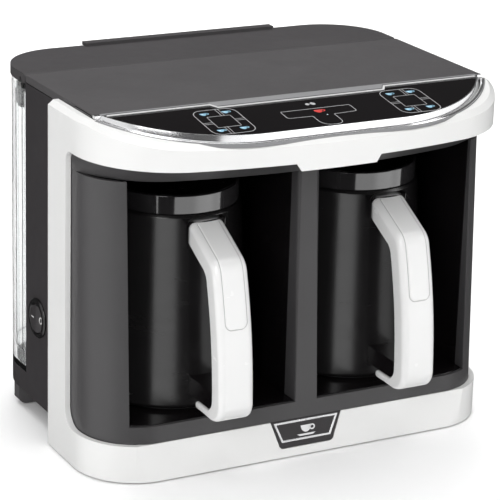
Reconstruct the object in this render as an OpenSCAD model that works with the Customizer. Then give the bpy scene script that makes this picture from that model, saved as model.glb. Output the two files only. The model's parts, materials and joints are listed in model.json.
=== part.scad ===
// Electric coffee maker with two pots, a rear water tank and a sloping touch panel.
// Millimetres, +Z up, front towards -Y, standing on z = 0.

/* [Body] */
// Width over the white front frame
body_width = 266; // [262:1:272]
// Height of the flat top cover above the table
top_height = 212.5; // [210:0.5:216]
// Height of the white base band
base_band = 23; // [21:0.5:25]
// Lower edge of the white head band
band_low = 188; // [186:0.5:189]
// Wall thickness of the white front frame
frame_wall = 3.2; // [2.6:0.1:3.4]
// Front corner radius of the head
head_corner = 58; // [54:1:62]
// Front corner radius of the base
base_corner = 38; // [34:1:42]

/* [Control panel] */
// Slope of the control panel, as fall per unit of depth
panel_slope = 0.15; // [0.12:0.01:0.17]
// Thickness of the control glass
glass_t = 2.75; // [2:0.25:3]
// Depth of the bright strip behind the glass at the middle
strip_depth = 6.6; // [5:0.1:8]

/* [Niches and pots] */
// Distance of each pot's axis from the middle
pot_x = 60; // [59:0.5:61]
// Radius of a pot at its foot
pot_foot_r = 47; // [44:0.5:47.5]
// Radius of a pot at its shoulder
pot_shoulder_r = 40.3; // [39.5:0.1:41]
// Radius of a pot's collar
pot_collar_r = 38.6; // [38.2:0.1:39]
// Wall thickness of a pot
pot_wall = 1.2; // [0.8:0.1:1.6]
// Width of a pot's handle
handle_w = 21.8; // [19:0.2:24]
// Thickness of a pot's handle, front to back
handle_t = 12.3; // [11:0.1:13]

/* [Water tank] */
// Wall thickness of the tank
tank_wall = 2.2; // [1.8:0.1:2.6]
// Rear corner radius of tank and lid
tank_corner = 38; // [32:1:42]
// Half width of the finger lip on the tank lid
lip_half = 65; // [50:1:75]

/* [Rocker switch] */
// Radius of the round bezel
bezel_r = 12.2; // [11.8:0.1:13]
// Throw of the rocker to each side of its middle, in degrees
rocker_tilt = 8; // [6:0.5:9]

/* [Hidden] */

$fn = 96;
hw = body_width / 2;          // half width of the white frame
front_y = -103.5;             // foremost point of the head
bow_r = 450;                  // gentle bow of the head's front
bow_y = front_y + bow_r;      // its centre
corner_x = hw - head_corner;  // centre of a head corner
corner_y = bow_y - sqrt(pow(bow_r - head_corner, 2) - corner_x * corner_x);
bow_a = asin(corner_x / (bow_r - head_corner));
cover_y = -52;                // seam between the control panel and the top cover
strip_back = 3.6;             // front edge of the top cover behind that seam line
lid_y = 47;                   // seam between the top cover and the tank lid
panel_a = atan(panel_slope);
rim_z = top_height - 2.1;     // top of the white rim beside the cover
rim_a = 10.5;                 // fall of the white rim towards the front
base_y = -79;                 // foremost point of the base band
base_a = 7.2;                 // lean of the base band's front
fascia_a = 2.58;              // lean of the fascia
fascia_y = -76.2;             // front of the fascia at the top of the base band
fascia_c = base_corner - 3;   // corner radius of the fascia
niche_in = 7.1;               // half width of the centre pillar
niche_out = 112;              // outer wall of a niche
niche_back = 35;              // back wall of a niche
niche_r = 40;                 // rear corner radius of a niche
floor_z = 33.4;               // niche floor
ceil_z = 177;                 // underside of the head
pot_y = -15;                  // axis of the pots
pot_z = 34;                   // foot of the pots
panel_x = 126;                // outer face of the side panels
tank_z = 26;
tank_top = 206.1;
tank_y = 47.8;
tank_hw = 125.5;
tank_back = 100;
leg_y = 60;                   // front of the rear leg
leg_t = 8.6;
hinge_y = 50.5;
hinge_z = top_height - 3;
sw_y = 28.3;
sw_z = 68;
sw_hinge_x = -121.5;

white = [0.93, 0.93, 0.92];
black_matte = [0.12, 0.12, 0.125];
black_soft = [0.18, 0.175, 0.18];
black_gloss = [0.03, 0.03, 0.035];
chrome = [0.82, 0.83, 0.85];
steel = [0.66, 0.67, 0.69];
gunmetal = [0.10, 0.10, 0.105];
clear = [0.85, 0.87, 0.88, 0.4];
rubber = [0.07, 0.07, 0.07];
pcb = [0.05, 0.30, 0.15];
brass = [0.75, 0.60, 0.30];
silicone = [0.88, 0.88, 0.86, 0.8];

// ---------- shared outlines ----------

// Points along an arc about (x, y), from angle a to angle b in n steps; k leaves out the last k of them
function arc(x, y, r, a, b, n, k = 0) = [for (i = [0:n - k]) [x + r * cos(a + (b - a) * i / n), y + r * sin(a + (b - a) * i / n)]];

// Outline of the head, set in by t, cut off behind yb: two corners and a gentle bow between them
module head_plan(t, yb)
  polygon(concat([[-(hw - t), yb]],
    arc(-corner_x, corner_y, head_corner - t, 180, 270 - bow_a, 20, 1),
    arc(0, bow_y, bow_r - t, 270 - bow_a, 270 + bow_a, 24, 1),
    arc(corner_x, corner_y, head_corner - t, 270 + bow_a, 360, 20),
    [[hw - t, yb]]));

// Rounded outline with front corners only, half width h, front y0, back y1, corner radius r
module front_round(h, y0, y1, r)
  polygon(concat([[-h, y1]], arc(-h + r, y0 + r, r, 180, 270, 20), arc(h - r, y0 + r, r, 270, 360, 20), [[h, y1]]));

// The same with rear corners
module rear_round(h, y0, y1, r)
  polygon(concat([[h, y0]], arc(h - r, y1 - r, r, 0, 90, 20), arc(-h + r, y1 - r, r, 90, 180, 20), [[-h, y0]]));

// Everything behind a plane that passes through (y, z) and leans back by a degrees
module behind(y, z, a) {
  translate([0, y, z]) rotate([-a, 0, 0]) translate([-250, 0, -150]) cube([500, 400, 450]);
}

// The head set in by t, under its white rim lowered by d; the rim is level beside the cover and falls to the front
module under_rim(t, d, yb) intersection() {
  translate([0, 0, band_low]) linear_extrude(40) head_plan(t, yb);
  rotate([90, 0, 90]) translate([0, 0, -200]) linear_extrude(400)
    polygon([[-150, band_low - 5], [-150, rim_z - d - (150 + cover_y) * tan(rim_a)], [cover_y, rim_z - d], [20, rim_z - d], [20, band_low - 5]]);
}

// Frame of the sloping control panel: x across, y back, z out of the panel
module on_panel() { translate([0, cover_y, top_height]) rotate([panel_a, 0, 0]) children(); }

panel_cx = 42.5;
panel_cy = 48.3;
// Front edge of the control panel: two corners of radius r, starting and ending at y = b
function panel_front(r, b) = let (a = asin((panel_cy - b) / r))
  concat(arc(-panel_cx, panel_cy, r, 180 + a, 270, 24), arc(panel_cx, panel_cy, r, 270, 360 - a, 24));
module panel_plan(r, b) polygon(panel_front(r, b));

// Opening for the glass, with the deeper strip at the middle; g shrinks it
module glass_plan(r, g)
  polygon(concat(panel_front(r, -2 - g),
    [[56.5 + g, -2 - g], [53.5 + g, -strip_depth - g], [-53.5 - g, -strip_depth - g], [-56.5 - g, -2 - g]]));

// Opening of one niche on the +X side, grown by t
module niche_plan(t) {
  x0 = niche_in - t; x1 = niche_out + t; y1 = niche_back + t; r = niche_r + t;
  translate([x0, -61.7]) square([x1 - x0, y1 - r + 61.7]);
  translate([x0 + r, -61.7]) square([x1 - x0 - 2 * r, y1 + 61.7]);
  for (x = [x0 + r, x1 - r]) translate([x, y1 - r]) circle(r = r);
}

module tube(points, r) {
  for (i = [0:len(points) - 2]) {
    a = points[i]; b = points[i + 1]; d = b - a; l = norm(d);
    translate(a) rotate([0, acos(d[2] / l), atan2(d[1], d[0])]) cylinder(h = l, r = r, $fn = 24);
    if (i > 0) translate(a) sphere(r = r, $fn = 24);
  }
}

// ---------- body ----------

module front_frame() color(white) {
  difference() {
    union() {
      // head band
      difference() {
        hull() {
          under_rim(0, 2.6, -3);
          under_rim(3.2, 0, -3);
        }
        translate([0, 0, -1]) under_rim(frame_wall, 1.5, -5.4);
        translate([-126.4, -30, band_low - 1]) cube([252.8, 40, 40]);
      }
      // bare tab under the middle of the band
      intersection() {
        translate([0, 0, 180]) linear_extrude(9) difference() {
          head_plan(0, -60);
          head_plan(1.1, -50);
        }
        rotate([90, 0, 0]) linear_extrude(120) polygon([[-24, 183.6], [24, 183.6], [27.4, band_low + 0.5], [-27.4, band_low + 0.5]]);
      }
      // side pillars with a return flange, and the fillets at both ends
      for (s = [-1, 1]) {
        translate([s > 0 ? hw - frame_wall : -hw, -28, 10]) cube([frame_wall, 25, band_low - 9]);
        translate([s > 0 ? 126.4 : -hw, -5.4, 0.8]) cube([hw - 126.4, 2.4, band_low]);
        translate([s > 0 ? hw - frame_wall : -hw, 0, 0]) rotate([90, 0, 90]) linear_extrude(frame_wall) {
          difference() {
            translate([-34, band_low - 6]) square([6.5, 6.5]);
            translate([-34, band_low - 6]) circle(r = 6);
          }
          difference() {
            translate([-39, base_band - 0.5]) square([11.5, 11.5]);
            translate([-39, base_band + 11]) circle(r = 11);
          }
        }
      }
      // base band
      difference() {
        intersection() {
          translate([0, 0, 0.8]) linear_extrude(base_band - 0.8) front_round(hw, base_y, -3, base_corner);
          behind(base_y, 0.8, base_a);
        }
        intersection() {
          translate([0, 0, -1]) linear_extrude(60) front_round(hw - frame_wall, base_y + frame_wall, -5.4, base_corner - frame_wall);
          behind(base_y + frame_wall, 0.8, base_a);
        }
        translate([-126.4, -30, -1]) cube([252.8, 40, 60]);
      }
    }
    // seat of the control panel and of the top cover
    on_panel() translate([0, 0, -16]) linear_extrude(30) panel_plan(95.5, 0.5);
    translate([-126.5, cover_y - 0.3, top_height - 8]) cube([253, 60, 20]);
    // seat of the badge
    badge_frame() translate([0, 0, -6]) linear_extrude(12) badge_shape(0);
  }
}

// Frame of the badge: x across, y up along the leaning front, z out to the front
module badge_frame() { translate([0, base_y, 0.8]) rotate([90 - base_a, 0, 0]) children(); }
module badge_shape(g) {
  translate([0, 0]) polygon([[-26.5 + g, 30], [-18.4 + g, 7.6], [18.4 - g, 7.6], [26.5 - g, 30]]);
  intersection() {
    for (s = [-1, 1]) translate([s * 15.3, 8.6]) circle(r = 3.4 - g);
    translate([-30, 0]) square([60, 8]);
  }
  translate([-15.3, 5.2 + g]) square([30.6, 6]);
}

module badge_plate() color(black_gloss)
  intersection() {
    badge_frame() translate([0, 0, -frame_wall + 0.2]) linear_extrude(frame_wall - 0.5) difference() {
      badge_shape(0.3);
      badge_line(0.05);
    }
    translate([-50, -100, 0]) cube([100, 60, base_band]);
  }

module badge_line(g) difference() {
  polygon([[-21.6 - g, 21.4 + g], [-16.4 - g, 8.9 - g], [16.4 + g, 8.9 - g], [21.6 + g, 21.4 + g]]);
  polygon([[-19.6 + g, 20.1 - g], [-15.4 + g, 10.2 + g], [15.4 - g, 10.2 + g], [19.6 - g, 20.1 - g]]);
}

module badge_rim() color(chrome)
  badge_frame() translate([0, 0, -frame_wall + 0.3]) linear_extrude(frame_wall - 0.5) badge_line(0);

module base_tray() color(black_matte) difference() {
  union() {
    translate([0, 0, 12.8]) linear_extrude(2.4) {
      front_round(hw - frame_wall - 0.6, base_y + frame_wall + 2.4, -6, base_corner - frame_wall - 0.6);
      translate([-123, -8]) square([246, 56]);
      rear_round(122.6, 40, 97.3, tank_corner - 3);
    }
    // bosses over the front feet, and the rear leg that ends flush with the tank's sides
    for (s = [-1, 1]) translate([s * 104, -46, 2.5]) cylinder(h = 11, r = 10);
    intersection() {
      translate([0, leg_y + leg_t, 0]) rotate([90, 0, 0]) linear_extrude(leg_t) polygon(concat([[-tank_hw, 12.5]],
        arc(5.5 - tank_hw, 6, 5.5, 180, 270, 10), arc(tank_hw - 5.5, 6, 5.5, 270, 360, 10),
        [[tank_hw, 12.5], [121, 12.5], [121, 13.5], [-121, 13.5], [-121, 12.5]]));
      linear_extrude(20) rear_round(tank_hw, 40, tank_back, tank_corner);
    }
    // ribs that carry the deck
    for (x = [-112, 0, 112]) translate([x - 1.2, -60, 15]) cube([2.4, 88, 12.8]);
  }
  // cooling slots
  for (s = [-1, 1], i = [0:6]) translate([s * pot_x - 21.5 + i * 6, -34, 10]) cube([3, 44, 8]);
  // screw holes
  for (p = screw_pts) translate([p[0], p[1], 10]) cylinder(h = 8, r = 1.8, $fn = 24);
  // room for the cord gland
  translate([-70, 90, 19]) rotate([-90, 0, 0]) cylinder(h = 20, r = 6.1, $fn = 48);
  // the leg is hollow from behind, with pockets for its rubber pads
  for (s = [-1, 1]) {
    translate([s > 0 ? 6 : -108, leg_y + 2.4, 3.9]) cube([102, 20, 8.9]);
    translate([s * 100, leg_y + leg_t / 2, -1]) cylinder(h = 3, r = 3.9);
  }
}

screw_pts = [[-80, -66], [80, -66], [-116, 30], [116, 30], [-52, 54], [52, 54]];

module base_screws() color(steel) for (p = screw_pts) translate([p[0], p[1], 0]) {
  difference() {
    translate([0, 0, 10.9]) cylinder(h = 1.8, r = 3.2, $fn = 32);
    translate([-0.4, -2.4, 10.5]) cube([0.8, 4.8, 1.2]);
    translate([-2.4, -0.4, 10.5]) cube([4.8, 0.8, 1.2]);
  }
  translate([0, 0, 12.6]) cylinder(h = 8, r = 1.45, $fn = 24);
}

module rubber_feet() color(rubber) {
  for (s = [-1, 1]) {
    translate([s * 104, -46, 0]) cylinder(h = 2.4, r = 9);
    translate([s * 100, leg_y + leg_t / 2, 0]) cylinder(h = 1.9, r = 3.6);
  }
}

module side_panel(s) color(black_soft) difference() {
  union() {
    translate([s > 0 ? panel_x - 2.5 : -panel_x, -2.7, 12.6]) cube([2.5, 49.7, top_height - 5 - 12.6]);
    // ledge behind the frame's return flange
    translate([s > 0 ? panel_x - 2.5 : -panel_x + 0.4, -12, 18]) cube([2.1, 9.5, 180]);
  }
  if (s < 0) translate([-panel_x - 5, sw_y, sw_z]) rotate([0, 90, 0]) cylinder(h = 20, r = bezel_r - 0.6);
}
module side_panel_left() side_panel(-1);
module side_panel_right() side_panel(1);

module rear_bulkhead() color(black_matte) difference() {
  translate([-123.2, 44.6, 15.5]) cube([246.4, 2.4, top_height - 5.5 - 15.5]);
  for (s = [-1, 1]) translate([s * 20, 40, 19.6]) rotate([-90, 0, 0]) cylinder(h = 12, r = 3.4, $fn = 32);
}

// Platform under the tank, with the socket of its valve
module tank_dock() color(black_soft) {
 translate([0, 74, 17]) cylinder(h = 2.7, r = 1.5, $fn = 32);
 difference() {
  union() {
    difference() {
      translate([0, 0, 12.8]) linear_extrude(12.8) rear_round(tank_hw, 47.4, tank_back, tank_corner);
      translate([0, 0, 10]) linear_extrude(13.2) rear_round(tank_hw - 2.5, 40, tank_back - 2.5, tank_corner - 2.5);
    }
    translate([0, 74, 15.8]) cylinder(h = 8, r = 13);
  }
  translate([0, 74, 17.6]) cylinder(h = 20, r = 9.5);
  translate([0, 74, 23.9]) cylinder(h = 4, r = 11.7);
  // outlets towards the suction tubes
  for (s = [-1, 1]) translate([0, 74, 19.6]) rotate([0, s * 90, 0]) cylinder(h = 20, r = 1.4, $fn = 24);
  translate([-70, 90, 19]) rotate([-90, 0, 0]) cylinder(h = 20, r = 5.1, $fn = 48);
  translate([-70, 90, 19]) rotate([-90, 0, 0]) cylinder(h = 7.5, r = 6.1, $fn = 48);
 }
}

module dock_seal() color(rubber) translate([0, 74, 23.95]) difference() {
  cylinder(h = 1.6, r = 11.6);
  translate([0, 0, -1]) cylinder(h = 4, r = 9.4);
}

module cord_gland() color(black_matte) translate([-70, 0, 19]) rotate([-90, 0, 0]) difference() {
  union() {
    translate([0, 0, 92]) cylinder(h = 10.1, r = 5, $fn = 48);
    translate([0, 0, tank_back + 0.1]) cylinder(h = 2, r = 6, $fn = 48);
    translate([0, 0, 95.4]) cylinder(h = 2, r = 5.8, $fn = 48);
  }
  translate([0, 0, 80]) cylinder(h = 30, r = 3.6, $fn = 48);
}

module top_cover() color(black_matte) difference() {
  union() {
    translate([-panel_x, cover_y + strip_back, top_height - 3.2]) cube([2 * panel_x, lid_y - 0.2 - cover_y - strip_back, 3.2]);
    for (s = [-1, 1]) translate([s > 0 ? panel_x - 3 : -panel_x, cover_y + strip_back, top_height - 4.6])
      cube([3, lid_y - 0.2 - cover_y - strip_back, 2]);
    // ribs under the cover
    for (y = [-20, 12]) translate([-118, y, top_height - 5]) cube([236, 1.6, 2]);
  }
  for (s = [-1, 1]) translate([s > 0 ? panel_x - 0.9 : -panel_x - 1, cover_y + 4.9, top_height - 2.9]) cube([1.9, 22.7, 1.9]);
}

module side_inlays() color(black_gloss)
  for (s = [-1, 1]) translate([s > 0 ? panel_x - 0.85 : -panel_x - 0.15, cover_y + 5, top_height - 2.85]) cube([1, 22.5, 1.8]);

module chrome_trim() color(chrome) {
  on_panel() difference() {
    hull() {
      translate([0, 0, -6]) linear_extrude(1.2) panel_plan(95.2, -0.3);
      translate([0, 0, -0.1]) linear_extrude(0.1) panel_plan(93.4, -0.3);
    }
    translate([0, 0, -10]) linear_extrude(20) glass_plan(91, 2);
    translate([0, 0, -3.2]) linear_extrude(20) glass_plan(92.7, 0);
  }
  // level part of the strip, in front of the top cover
  translate([-119, cover_y - 0.5, top_height - 3.2]) cube([238, strip_back + 0.2, 3.1]);
  translate([-panel_x, cover_y + 0.1, top_height - 3.2]) cube([2 * panel_x, strip_back - 0.4, 3.1]);
}

module control_glass() color(black_gloss) on_panel()
  translate([0, 0, -0.3 - glass_t]) linear_extrude(glass_t) glass_plan(92.5, 0.2);

module touch_board() color(pcb) on_panel() translate([0, 0, -9.4]) linear_extrude(1.6)
  polygon([[-96, -13], [96, -13], [88, -26], [70, -36], [-70, -36], [-88, -26]]);

key_pts = [for (s = [-1, 1], x = [-10, 10], y = [-18, -31]) [s * pot_x + x, y], [0, -24]];
module touch_springs() color(brass) on_panel() for (p = key_pts) translate([p[0], p[1], -7.7]) difference() {
  cylinder(h = 4.5, r = 2.4, $fn = 24);
  translate([0, 0, -1]) cylinder(h = 9, r = 1.7, $fn = 24);
}

module indicator_leds() color([0.75, 0.85, 0.95]) on_panel()
  for (p = key_pts) translate([p[0] + 4.2, p[1] - 1, -7.75]) cube([2, 2, 1]);

// Ceiling of the niches with the sloping apron under the head band
module head_underside() color(black_soft) difference() {
  union() {
    intersection() {
      apron_slab(1.2, 0, 0, -12);
      translate([-200, -200, 100]) cube([400, 171.6, 100]);
    }
    translate([-(hw - frame_wall - 0.4), -30, ceil_z]) cube([2 * (hw - frame_wall - 0.4), 17.4, 4]);
    translate([-123.1, -14, ceil_z]) cube([246.2, 58.2, 4]);
  }
  apron_slab(3.8, 2.6, 2.2, -22);
  translate([-121, -30, ceil_z + 2.2]) cube([242, 72.2, 20]);
  // clear of the frame's fillets
  for (s = [-1, 1]) translate([s > 0 ? hw - frame_wall - 0.3 : -hw - 1, -34.3, ceil_z - 1]) cube([frame_wall + 1.3, 10, 20]);
  for (s = [-1, 1]) {
    translate([s * pot_x, 0, 170]) cylinder(h = 20, r = 4.2, $fn = 32);
    translate([s * pot_x, -32, 170]) cylinder(h = 20, r = 5.2, $fn = 32);
    translate([s * 20, 40.7, 170]) cylinder(h = 20, r = 3.2, $fn = 32);
  }
}
// Slab under the head band that slopes back by apron_run on its way down: set in by t, moved back by d, raised by u
apron_run = 20;
module apron_slab(t, d, u, yb) let (h = band_low - 0.3 - ceil_z, k = apron_run / h)
  multmatrix([[1, 0, 0, 0], [0, 1, -k, d + k * (h - u)], [0, 0, 1, ceil_z + u], [0, 0, 0, 1]])
    linear_extrude(u > 0 ? h - u + 1 : h) head_plan(t, yb);

// Dark front: two curved columns, the centre pillar and the apron over the base band
module fascia() color(black_soft) {
  difference() {
    intersection() {
    on_fascia() union() {
      // apron
      translate([0, 0, -3]) linear_extrude(floor_z - base_band + 2.7) difference() {
        front_round(hw - 3.6, 0, 80, fascia_c);
        front_round(hw - 6.1, 2.5, 90, fascia_c - 2.5);
      }
      // columns
      translate([0, 0, -3]) linear_extrude(200) difference() {
        front_round(hw - 3.6, 0, 80, fascia_c);
        front_round(hw - 6.1, 2.5, 90, fascia_c - 2.5);
        translate([-niche_out, -10]) square([2 * niche_out, 120]);
      }
    }
    translate([-200, -150, base_band + 0.3]) cube([400, 137.2, ceil_z - 0.3 - base_band - 0.3]);
    }
    translate([-niche_out - 2.3, -61.9, floor_z + 0.2]) cube([2 * niche_out + 4.6, 40, 200]);
  }
  // returns along the niches, and the centre pillar
  intersection() {
    on_fascia() linear_extrude(200) {
      intersection() {
        for (s = [-1, 1]) translate([s > 0 ? niche_out : -niche_out - 2.5, 1.2]) square([2.5, 40]);
        front_round(hw - 3.6, 0, 80, fascia_c);
      }
      translate([-niche_in, 0]) square([2 * niche_in, 40]);
    }
    translate([-200, -150, floor_z + 0.2]) cube([400, 150 - 61.9, ceil_z - 0.3 - floor_z - 0.2]);
  }
  on_fascia() translate([-niche_in, 0, 4]) cube([2 * niche_in, 2.4, 12]);
}
module on_fascia() translate([0, fascia_y, base_band + 0.3]) rotate([-fascia_a, 0, 0]) children();

module niche_liner_right() color(black_gloss) translate([0, 0, floor_z + 0.3]) linear_extrude(ceil_z - floor_z - 0.7) difference() {
  niche_plan(2);
  niche_plan(0);
  translate([-10, -64]) square([140, 2.5]);
}
module niche_liner_left() mirror([1, 0, 0]) niche_liner_right();

module base_deck() color(black_soft) difference() {
  union() {
    translate([0, 0, floor_z - 2.4]) linear_extrude(2.4) {
      front_round(hw - 6.8, fascia_y + 3.5, -12.6, fascia_c - 3);
      translate([-122.8, -20]) square([245.6, 58]);
    }
    for (s = [-1, 1]) translate([s * pot_x, pot_y, floor_z - 5]) difference() {
      cylinder(h = 4, r = 47);
      translate([0, 0, -1]) cylinder(h = 9, r = 44.4);
    }
  }
  for (s = [-1, 1]) translate([s * pot_x, pot_y, floor_z - 8]) cylinder(h = 20, r = 44.4);
}

module heater_plate(s) color(steel) translate([s * pot_x, pot_y, 0]) {
  difference() {
    translate([0, 0, 31.2]) cylinder(h = 2.4, r = 44.1);
    translate([0, 0, 33.3]) rotate_extrude() translate([33, 0]) square([1.2, 2]);
    translate([0, 0, 33.3]) rotate_extrude() translate([20, 0]) square([1.2, 2]);
  }
  translate([0, 0, 29.4]) cylinder(h = 2.4, r = 7);
}
module heater_plate_left() heater_plate(-1);
module heater_plate_right() heater_plate(1);

module heater_coil(s) color(steel) translate([s * pot_x, pot_y, 27.6]) {
  rotate([0, 0, 105]) rotate_extrude(angle = 330) translate([30, 0]) circle(r = 3.3, $fn = 24);
  for (a = [105, 75]) rotate([0, 0, a]) translate([30, 0, -8]) {
    cylinder(h = 8, r = 1.5, $fn = 24);
    translate([0, 0, 7]) sphere(r = 3.3, $fn = 24);
  }
}
module heater_coil_left() heater_coil(-1);
module heater_coil_right() heater_coil(1);

module temperature_sensors() color(steel) for (s = [-1, 1]) translate([s * pot_x, pot_y, 0]) {
  translate([0, 0, 23]) cylinder(h = 6.2, r = 5, $fn = 32);
  translate([0, 0, 17.5]) cylinder(h = 6, r = 2, $fn = 24);
}

module foam_sensors() color(black_gloss) for (s = [-1, 1]) translate([s * pot_x, -32, 0]) {
  translate([0, 0, 175]) cylinder(h = 8, r = 5, $fn = 32);
  translate([0, 0, 174.8]) cylinder(h = 1.9, r = 7, $fn = 32);
  intersection() {
    translate([0, 0, 176]) sphere(r = 4.4, $fn = 32);
    translate([-10, -10, 165]) cube([20, 20, 11]);
  }
}

module spouts() color(steel) for (s = [-1, 1]) translate([s * pot_x, 0, 0]) difference() {
  union() {
    translate([0, 0, 171]) cylinder(h = 13, r = 4, $fn = 32);
    translate([0, 0, 168]) cylinder(h = 3.01, r1 = 2.4, r2 = 4, $fn = 32);
    translate([0, 0, 174.8]) cylinder(h = 1.9, r = 6.5, $fn = 32);
  }
  translate([0, 0, 160]) cylinder(h = 30, r = 1.4, $fn = 24);
}

module pump(s) color(steel) translate([s > 0 ? 0 : 0, 0, 0]) mirror([s < 0 ? 1 : 0, 0, 0]) {
  translate([24, 22, 194]) rotate([0, 90, 0]) cylinder(h = 34, r = 12);
  translate([21, 22, 194]) rotate([0, 90, 0]) cylinder(h = 4, r = 4, $fn = 32);
  translate([57.9, 10.5, 182.5]) cube([18, 23, 23]);
  translate([28, 14, 179.4]) cube([44, 16, 6]);
}
module pump_left() pump(-1);
module pump_right() pump(1);

module suction_tubes() color(silicone) for (s = [-1, 1])
  tube([[s * 13.2, 74, 19.6], [s * 20, 74, 19.6], [s * 20, 40.7, 19.6], [s * 20, 40.7, 190], [s * 67, 40.7, 190], [s * 67, 33.6, 190]], 2.6);

module delivery_tubes() color(silicone) for (s = [-1, 1])
  tube([[s * 67, 10.4, 190], [s * 67, 0, 190], [s * pot_x, 0, 190], [s * pot_x, 0, 184.1]], 2.6);

module power_board() color(pcb) {
  translate([-42, -76, 184]) cube([84, 62, 1.6]);
  for (x = [-37, 37], y = [-71, -19]) translate([x, y, 179.3]) cylinder(h = 4.8, r = 2.2, $fn = 24);
  translate([-34, -44, 185.5]) cube([26, 22, 17]);
  for (x = [2, 22]) translate([x, -40, 185.5]) cube([16, 12, 12]);
  translate([-24, -60, 185.5]) cylinder(h = 8, r = 5, $fn = 32);
  translate([-8, -62, 185.5]) cylinder(h = 7, r = 4, $fn = 32);
  translate([12, -66, 185.5]) cube([22, 10, 6]);
}

// Round switch: bezel, box behind the panel, and cheeks with the pivot holes
module switch_body() color(black_matte) difference() {
  union() {
    translate([-panel_x - 1.7, sw_y, sw_z]) rotate([0, 90, 0]) cylinder(h = 0.9, r1 = bezel_r - 1, r2 = bezel_r);
    translate([-panel_x - 0.81, sw_y, sw_z]) rotate([0, 90, 0]) cylinder(h = 0.75, r = bezel_r);
    translate([-panel_x - 0.5, sw_y, sw_z]) rotate([0, 90, 0]) cylinder(h = 17.5, r = bezel_r - 0.7);
  }
  translate([-panel_x - 5, sw_y, sw_z]) rotate([0, 90, 0]) cylinder(h = 16, r = 9.5);
  translate([sw_hinge_x, sw_y, sw_z - 10.7]) cylinder(h = 21.4, r = 1.25, $fn = 32);
}

module switch_rocker() color(black_gloss) translate([sw_hinge_x, sw_y, sw_z]) rotate([0, 0, rocker_tilt]) {
  difference() {
    intersection() {
      translate([-8.2, 0, 0]) rotate([0, 90, 0]) cylinder(h = 11.5, r = 8.4);
      rotate([0, 0, 0]) translate([0, 0, -10]) linear_extrude(20)
        polygon([[3.2, -5], [3.2, 5], [-1, 9], [-5.2, 9], [-6.6, 0], [-5.2, -9], [-1, -9]]);
    }
  }
  translate([0, 0, -10.5]) cylinder(h = 21, r = 1.2, $fn = 32);
}

// ---------- water tank ----------

module water_tank() color(clear) difference() {
  union() {
    difference() {
      translate([0, 0, tank_z]) linear_extrude(tank_top - tank_z) rear_round(tank_hw, tank_y, tank_back, tank_corner);
      translate([0, 0, tank_z + 2.5]) linear_extrude(200)
        rear_round(tank_hw - tank_wall, tank_y + tank_wall, tank_back - tank_wall, tank_corner - tank_wall);
      // the front wall is lower, under the lid's hinge
      translate([-130, 40, 203]) cube([260, 14.5, 10]);
    }
    // upright ribs inside the ends
    for (s = [-1, 1], y = [54.4, 63.8]) translate([s > 0 ? tank_hw - tank_wall - 1.4 : -tank_hw + tank_wall - 0.1, y, 30])
      cube([1.5, 1.4, 170]);
    // floor step
    translate([0, 0, 28]) linear_extrude(10) difference() {
      rear_round(tank_hw - 1, tank_y + 1, tank_back - 1, tank_corner - 1);
      rear_round(tank_hw - tank_wall - 1.2, tank_y + tank_wall + 1.2, tank_back - tank_wall - 1.2, tank_corner - tank_wall - 1.2);
    }
    // hinge ears
    for (x = [-100, 100]) {
      translate([x - 3, 48.2, 196]) cube([6, 4.1, 10.2]);
      translate([x - 3, hinge_y, 206]) cube([6, 1.8, hinge_z - 206]);
      translate([x - 3, hinge_y, hinge_z]) rotate([0, 90, 0]) cylinder(h = 6, r = 1.6, $fn = 32);
    }
  }
  translate([0, 74, 20]) cylinder(h = 20, r = 9.05);
  for (x = [-100, 100]) translate([x - 5, hinge_y, hinge_z]) rotate([0, 90, 0]) cylinder(h = 10, r = 0.82, $fn = 24);
}

module lid_hinge_pins() color(steel) for (x = [-100, 100])
  translate([x - 6, hinge_y, hinge_z]) rotate([0, 90, 0]) cylinder(h = 12, r = 0.8, $fn = 24);

module tank_clips() color(black_matte) for (s = [-1, 1], c = [[57.2, 0], [66, 1.7]]) {
  translate([s > 0 ? tank_hw - tank_wall - 2.6 - c[1] : -tank_hw + tank_wall + 0.1 + c[1], c[0], 190]) cube([2.5, 5, 13]);
  translate([s > 0 ? tank_hw - tank_wall - 4.6 - c[1] : -tank_hw + tank_wall + 2.1 + c[1], c[0], 199]) cube([2.5, 5, 4]);
}

module valve_housing() color(white) translate([0, 74, 0]) difference() {
  union() {
    translate([0, 0, 19.8]) cylinder(h = 11.2, r = 9);
    translate([0, 0, 28.55]) cylinder(h = 1.5, r = 11.5);
    translate([0, 0, 31]) cylinder(h = 1.6, r = 8);
    for (a = [0, 90, 180, 270]) rotate([0, 0, a]) translate([6, -1.2, 30]) cube([1.9, 2.4, 2]);
  }
  translate([0, 0, 22.5]) cylinder(h = 8.5, r = 5.9);
  translate([0, 0, 10]) cylinder(h = 11.2, r = 5.9);
  translate([0, 0, 20]) cylinder(h = 6, r = 2.1, $fn = 32);
  for (a = [0:60:300]) rotate([0, 0, a]) translate([4.2, 0, 29]) cylinder(h = 6, r = 1, $fn = 20);
}

module valve_plunger() color(rubber) translate([0, 74, 0]) {
  translate([0, 0, 22.8]) cylinder(h = 1.8, r = 5.2);
  translate([0, 0, 20.1]) cylinder(h = 3, r = 1.6, $fn = 32);
}

module valve_spring() color(steel) translate([0, 74, 0]) for (i = [0:3])
  translate([0, 0, 25.1 + i * 1.75]) rotate_extrude() translate([3.6, 0]) circle(r = 0.45, $fn = 16);

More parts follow.
